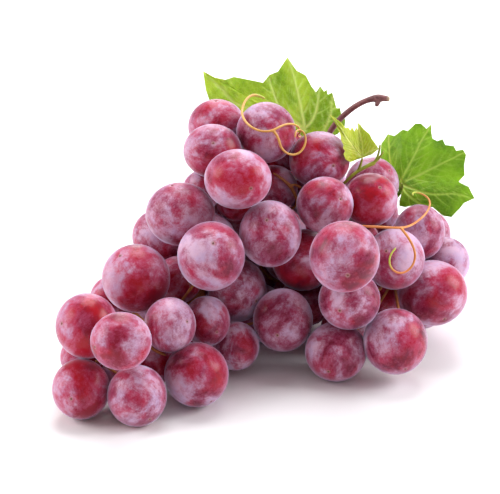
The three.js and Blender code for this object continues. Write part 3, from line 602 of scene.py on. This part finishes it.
def makeSkin():
    look = skinLook
    material, shader = newMaterial("berrySkin")
    tree = material.node_tree
    place = attributeOf(tree, "berryPlace", "Vector")
    offset = attributeOf(tree, "berryShift", "Vector")
    spot = addNode(tree, "ShaderNodeVectorMath", {0: place, 1: offset}, operation="ADD").outputs[0]
    red = attributeOf(tree, "berryRed")
    # each berry's bloom share is real bloom, and on some berries also painted light that makes a
    # berry in shade paler
    bloom = attributeOf(tree, "berryBloomAndPaintedLight")

    # the film of bloom lies unevenly
    film = calculate(tree, "MULTIPLY", bloom, look["bloomShare"])
    film = calculate(tree, "SUBTRACT", film, look["bareLevel"])
    for scale, distortion, share in look["layers"]:
        layer = mottle(tree, spot, scale, distortion, *look["layerEdge"])
        film = calculate(tree, "ADD", film, calculate(tree, "MULTIPLY", layer, share))

    change = calculate(tree, "SUBTRACT", mottle(tree, spot, *look["ripeness"]), 0.5)
    ripe = calculate(tree, "ADD", red, change, clamp=True)
    skin = blendColours(tree, ripe, look["purple"], look["red"])
    thin = blendColours(tree, ripe, look["mauve"], look["rose"])
    hue = mottle(tree, spot, *look["thickHues"])
    thick = blendColours(tree, hue, look["lilac"], look["pale"])
    colour = blendColours(tree, mapRange(tree, film, *look["thinFilm"]), skin, thin)
    colour = blendColours(tree, mapRange(tree, film, *look["thickFilm"]), colour, thick)

    # small dark pores, then the scar at the foot of the berry: a pale ring round a dark heart
    pores = addNode(tree, "ShaderNodeTexVoronoi", {"Vector": spot, "Scale": look["poreScale"]})
    pore = mapRange(tree, pores.outputs["Distance"], *look["poreRing"])
    colour = blendColours(tree, pore, colour, look["pore"])
    foot = addNode(tree, "ShaderNodeVectorMath", {0: place, 1: (0, 0, -1)}, operation="DISTANCE")
    away = foot.outputs["Value"]
    colour = blendColours(tree, mapRange(tree, away, *look["scarRing"]), colour, look["scar"])
    colour = blendColours(tree, mapRange(tree, away, *look["heartRing"]), colour, look["heart"])
    tree.links.new(colour, shader.inputs["Base Color"])

    rough = mapRange(tree, film, 0.0, 1.0, *look["roughness"])
    tree.links.new(rough, shader.inputs["Roughness"])
    addRelief(tree, shader, look["relief"], film)
    addGlow(shader, look)
    shader.inputs["Specular IOR Level"].default_value = look["shine"]
    shader.inputs["Sheen Weight"].default_value = look["sheen"]
    shader.inputs["Sheen Roughness"].default_value = look["sheenRoughness"]
    shader.inputs["Sheen Tint"].default_value = look["sheenTint"]
    return material


clusterEdges = {"upper": 10, "left": -10}    # mm as seen, where one part of the bunch ends


def berryCluster(berry, index):
    # the piece that a berry belongs to: one for each part of the bunch
    if index >= len(seenBerries):
        return "farBerries"
    x, y = seenFrom(inPart(berry["centre"]))
    if y > clusterEdges["upper"]:
        return "upperBerries"
    return "leftBerries" if x < clusterEdges["left"] else "rightBerries"


def buildBerries():
    seen = laySeenBerries()
    berries = seen + findFarBerries(seen)
    model = modelBerry()
    skin = makeSkin()
    clusters = {}
    for index, berry in enumerate(berries):
        clusters.setdefault(berryCluster(berry, index), []).append(copyBerry(model, berry, index))
    bpy.data.objects.remove(model)
    for name, copies in clusters.items():
        deselectAll()
        for copy in copies:
            copy.select_set(True)
        bpy.context.view_layer.objects.active = copies[0]
        bpy.ops.object.join()
        cluster = bpy.context.object
        cluster.name = name
        cluster.data.materials.append(skin)
        shadeSmooth(cluster)
        settle(cluster, "berries")
    print("berries:", len(seen), "in view,", len(berries) - len(seen), "behind them")


# Leaves

# Main veins of each blade as seen in mm, from where they start to a tip, and how the side veins
# leave them.
leafForm = {
    "leaf_left": {
        "veins": (
            ((19.6, 41.5), (17.6, 51.5), (15.6, 60.0), (13.6, 66.8)),
            ((19.2, 42.2), (8.0, 47.2), (-4.5, 50.7), (-9.5, 55.8), (-16.4, 62.0)),
            ((19.2, 42.3), (11.8, 48.0), (8.2, 55.5), (6.9, 60.6)),
            ((19.8, 42.6), (21.8, 44.6), (23.5, 48.2), (24.3, 52.4), (24.8, 56.6)),
            ((24.5, 39.6), (26.4, 41.8), (28.1, 45.8), (28.9, 49.5), (29.2, 54.0)),
        ),
        "spacing": 4.4, "angle": 48, "reach": 8.0, "width": 0.62, "relief": 0.35,
    },
    "leaf_right": {
        "veins": (
            ((53.0, 22.5), (57.9, 31.6), (61.0, 38.0), (64.2, 43.0)),
            ((53.0, 22.5), (60.5, 25.9), (67.9, 29.5), (76.2, 33.6)),
            ((53.0, 22.4), (63.8, 18.9), (72.8, 18.9), (79.0, 17.2)),
            ((53.0, 22.3), (58.0, 17.0), (66.5, 11.0)),
            ((53.0, 22.5), (50.0, 29.1), (49.1, 39.6)),
        ),
        "spacing": 4.0, "angle": 44, "reach": 9.0, "width": 0.50, "relief": 0.28,
    },
    "leaf_young": {
        "veins": (
            ((40.1, 31.8), (39.9, 37.0), (38.3, 43.8)),
            ((39.8, 31.8), (35.2, 37.6), (31.6, 43.0), (28.6, 46.8)),
            ((40.0, 31.9), (42.6, 34.0), (45.4, 34.9)),
        ),
        "spacing": 1.5, "angle": 40, "reach": 5.0, "width": 0.40, "relief": 0.30,
    },
}

leafLook = {
    "leaf_left": {
        "blade": (0.40, 0.51, 0.040), "deep": (0.15, 0.24, 0.001), "vein": (0.54, 0.62, 0.20),
    },
    "leaf_right": {
        "blade": (0.21, 0.36, 0.010), "deep": (0.08, 0.17, 0.001), "vein": (0.40, 0.50, 0.09),
    },
    "leaf_young": {
        "blade": (0.46, 0.50, 0.030), "deep": (0.26, 0.32, 0.003), "vein": (0.64, 0.68, 0.20),
    },
}

# What the three blades share.
bladeForm = {
    "thinning": 0.00022,        # m that each face moves in from the solid's
    "cuts": 5,
    "smoothRounds": 14,
    "smoothShare": 0.5,
    "rimFacing": 0.75,          # corners that face the eye less than this are on the edge
    "curveSteps": 5,
    "puckerPace": (1.9, 1.6),
    "puckerShare": 0.35,
    "veinTaper": 0.6,
    "sideWidth": 0.55,
    "sideTaper": 0.5,
    "sideDepth": 0.7,
    "sideFade": 0.6,
    "firstSpacing": 0.8,        # shares of the spacing
    "turnSpacing": 0.5,
    "shortening": 0.55,
    "sideSteps": 6,
    "sideBend": 0.08,
}

bladeLook = {
    "shade": (75.0, 0.8, 0.33, 0.67),
    "netScale": 700.0,
    "netRing": (0.0, 0.12, 1.0, 0.0),
    "netShare": 0.12,
    "shadeHeight": 0.3,
    "relief": 0.25,
    "roughness": 0.45,
    "shine": 0.3,
    "glow": 0.35,
    "glowReach": (0.6, 1.0, 0.2),
    "glowScale": 0.002,
}


def distanceToLine(spots, line):
    # shortest distance of each spot to a line of points, and how far along it that is
    best = np.full(len(spots), 1e9)
    along = np.zeros(len(spots))
    lengths = [math.dist(a, b) for a, b in zip(line, line[1:])]
    done = 0.0
    for (start, end), length in zip(zip(line, line[1:]), lengths):
        way = np.subtract(end, start)
        share = np.clip((spots - start) @ way / (way @ way), 0, 1)
        away = np.linalg.norm(spots - (start + share[:, None] * way), axis=1)
        closer = away < best
        best[closer] = away[closer]
        along[closer] = (done + share[closer] * length) / sum(lengths)
        done += length
    return best, along


def smoothLine(line):
    # a curve through the points
    steps = bladeForm["curveSteps"]
    points = [np.array(p, float) for p in line]
    points = [2 * points[0] - points[1], *points, 2 * points[-1] - points[-2]]
    curve = []
    for p, q, r, s in zip(points, points[1:], points[2:], points[3:]):
        for step in range(steps):
            t = step / steps
            curve.append(0.5 * (2 * q + (r - p) * t + (2 * p - 5 * q + 4 * r - s) * t ** 2
                                + (3 * q - p - 3 * r + s) * t ** 3))
    curve.append(points[-2])
    return curve


def sideVeins(line, form):
    # side veins leave a main vein by turns left and right and bend toward its tip
    veins = []
    total = sum(math.dist(a, b) for a, b in zip(line, line[1:]))
    done = 0.0
    mark = form["spacing"] * bladeForm["firstSpacing"]
    steps = bladeForm["sideSteps"]
    hand = 1
    for start, end in zip(line, line[1:]):
        length = math.dist(start, end)
        way = np.subtract(end, start) / length
        while mark < done + length:
            root = start + way * (mark - done)
            reach = form["reach"] * (1 - bladeForm["shortening"] * mark / total)
            vein = [root]
            turn = math.radians(form["angle"]) * hand
            for step in range(steps):
                lean = turn * (1 - bladeForm["sideBend"] * step)
                ahead = np.array([way[0] * math.cos(lean) - way[1] * math.sin(lean),
                                  way[0] * math.sin(lean) + way[1] * math.cos(lean)])
                vein.append(vein[-1] + ahead * reach / steps)
            veins.append(vein)
            hand = -hand
            mark += form["spacing"] * bladeForm["turnSpacing"]
        done += length
    return veins


def veinMask(spots, form):
    # 1 on a vein, falling to 0 beside it; side veins are finer and weaker
    mask = np.zeros(len(spots))
    for points in form["veins"]:
        line = smoothLine(points)
        away, along = distanceToLine(spots, line)
        width = form["width"] * (1 - bladeForm["veinTaper"] * along)
        mask = np.maximum(mask, np.exp(-(away / width) ** 2))
        for side in sideVeins(line, form):
            away, along = distanceToLine(spots, side)
            width = form["width"] * bladeForm["sideWidth"] * (1 - bladeForm["sideTaper"] * along)
            depth = bladeForm["sideDepth"] * (1 - bladeForm["sideFade"] * along)
            mask = np.maximum(mask, depth * np.exp(-(away / width) ** 2))
    return mask


def buildLeaf(node, name):
    form = leafForm[node]
    leaf = solidCopy(node, name)
    # a thinner blade than the solid's
    side = np.sign(normalsOf(leaf) @ toward)
    setPlaces(leaf, placesOf(leaf) - side[:, None] * toward * bladeForm["thinning"])
    makeActive(leaf)
    bpy.ops.object.mode_set(mode="EDIT")
    bpy.ops.mesh.select_all(action="SELECT")
    bpy.ops.mesh.subdivide(number_cuts=bladeForm["cuts"], smoothness=0)
    bpy.ops.object.mode_set(mode="OBJECT")
    smoothBlade(leaf)
    places = placesOf(leaf)
    spots = seenFrom(places)
    mask = veinMask(spots, form)
    puckers = np.sin(spots * bladeForm["puckerPace"]).prod(axis=1)
    lift = form["relief"] * (bladeForm["puckerShare"] * puckers * (1 - mask) - mask)
    setPlaces(leaf, places + toward * (lift / 1000)[:, None])
    setAttribute(leaf, "vein", mask)
    leaf.data.materials.append(makeBlade(name, leafLook[node]))
    shadeSmooth(leaf)
    return leaf


def smoothBlade(leaf):
    # evens out the blade and leaves its edge as it is
    places = placesOf(leaf)
    edges = np.array([edge.vertices[:] for edge in leaf.data.edges])
    rim = np.abs(normalsOf(leaf) @ toward) < bladeForm["rimFacing"]
    count = np.bincount(edges.ravel(), minlength=len(places))[:, None]
    for _ in range(bladeForm["smoothRounds"]):
        total = np.zeros_like(places)
        np.add.at(total, edges[:, 0], places[edges[:, 1]])
        np.add.at(total, edges[:, 1], places[edges[:, 0]])
        moved = places + bladeForm["smoothShare"] * (total / count - places)
        moved[rim] = places[rim]
        places = moved
    setPlaces(leaf, places)


def makeBlade(name, look):
    material, shader = newMaterial(name + "Blade")
    tree = material.node_tree
    spot = addNode(tree, "ShaderNodeTexCoord").outputs["Object"]
    vein = attributeOf(tree, "vein")
    shade = mottle(tree, spot, *bladeLook["shade"])
    blade = blendColours(tree, shade, look["deep"], look["blade"])
    net = addNode(tree, "ShaderNodeTexVoronoi", {"Vector": spot, "Scale": bladeLook["netScale"]},
                  feature="DISTANCE_TO_EDGE")
    netMask = mapRange(tree, net.outputs["Distance"], *bladeLook["netRing"])
    netShare = calculate(tree, "MULTIPLY", netMask, bladeLook["netShare"])
    blade = blendColours(tree, netShare, blade, look["vein"])
    colour = blendColours(tree, vein, blade, look["vein"])
    tree.links.new(colour, shader.inputs["Base Color"])
    shader.inputs["Roughness"].default_value = bladeLook["roughness"]
    shader.inputs["Specular IOR Level"].default_value = bladeLook["shine"]
    raised = calculate(tree, "MULTIPLY", shade, bladeLook["shadeHeight"])
    addRelief(tree, shader, bladeLook["relief"], calculate(tree, "SUBTRACT", raised, netMask))
    addGlow(shader, bladeLook)
    return material


def buildLeaves():
    for node, name, slot in (("leaf_left", "leafLeft", "leaf_light"),
                             ("leaf_right", "leafRight", "leaf_dark"),
                             ("leaf_young", "leafYoung", "leaf_new")):
        settle(buildLeaf(node, name), node)
        print("leaf:", name)


# Woody and green stems, and tendrils

barkLook = {
    "stalk": {"light": (0.30, 0.11, 0.11), "dark": (0.07, 0.014, 0.016), "grain": 900.0,
              "roughness": 0.5},
    "stems": {"light": (0.60, 0.24, 0.065), "dark": (0.26, 0.075, 0.02), "grain": 600.0,
              "roughness": 0.6},
    "shoot": {"light": (0.40, 0.44, 0.03), "dark": (0.17, 0.20, 0.01), "grain": 500.0,
              "roughness": 0.45},
    "tendril_left": {"light": (0.76, 0.47, 0.13), "dark": (0.62, 0.27, 0.05), "grain": 300.0,
                     "roughness": 0.4},
    "tendril_right": {"light": (0.72, 0.33, 0.09), "dark": (0.60, 0.16, 0.03), "grain": 300.0,
                      "roughness": 0.4},
}
barkGrain = {
    "fine": (0.5, 0.3, 0.7),    # distortion and edge of the two mottles
    "broad": (0.3, 0.3, 0.7),
    "broadSpan": 5,             # how much wider the broad one is
    "relief": 0.4,
}
greenTip = (0.52, 0.56, 0.08)
cutWood = (0.62, 0.50, 0.33)

# Spots as seen in mm round which a piece changes colour, and how far: green tips and the cut.
tipSpots = {
    "tendril_right": (((57.0, 19.0), 3.0), ((51.0, -0.8), 4.0), ((49.0, -4.0), 3.0)),
    "tendril_left": (((4.5, 53.6), 2.0),),
    "stalk": (((50.3, 52.3), 1.3),),
}
tipReach = 1.6


def makeBark(node, tipColour):
    look = barkLook[node]
    material, shader = newMaterial(node + "Bark")
    tree = material.node_tree
    spot = addNode(tree, "ShaderNodeTexCoord").outputs["Object"]
    grain = mottle(tree, spot, look["grain"], *barkGrain["fine"])
    broad = mottle(tree, spot, look["grain"] / barkGrain["broadSpan"], *barkGrain["broad"])
    mixed = calculate(tree, "ADD", calculate(tree, "MULTIPLY", grain, 0.5),
                      calculate(tree, "MULTIPLY", broad, 0.5))
    colour = blendColours(tree, mixed, look["dark"], look["light"])
    colour = blendColours(tree, attributeOf(tree, "tip"), colour, tipColour)
    tree.links.new(colour, shader.inputs["Base Color"])
    shader.inputs["Roughness"].default_value = look["roughness"]
    addRelief(tree, shader, barkGrain["relief"], grain)
    return material


def buildBar(node, name, levels=2):
    bar = solidCopy(node, name)
    applyModifier(bar, "SUBSURF", levels=levels, render_levels=levels)
    spots = seenFrom(placesOf(bar))
    tip = np.zeros(len(spots))
    for place, size in tipSpots.get(node, ()):
        away = np.linalg.norm(spots - np.array(place), axis=1)
        tip = np.maximum(tip, np.clip(tipReach - away / size, 0, 1))
    setAttribute(bar, "tip", tip)
    bar.data.materials.append(makeBark(node, cutWood if node == "stalk" else greenTip))
    shadeSmooth(bar)
    settle(bar, node)
    print("stem:", name)


placing = random.Random(seed)
makeMottle()
makeCamera()
makeStudio()
print("camera, floor and lights are set")
buildBerries()
buildLeaves()
buildBar("stalk", "woodyStalk")
buildBar("stems", "innerStems", levels=1)
buildBar("shoot", "greenShoot")
buildBar("tendril_left", "tendrilLeft")
buildBar("tendril_right", "tendrilRight")

deselectAll()
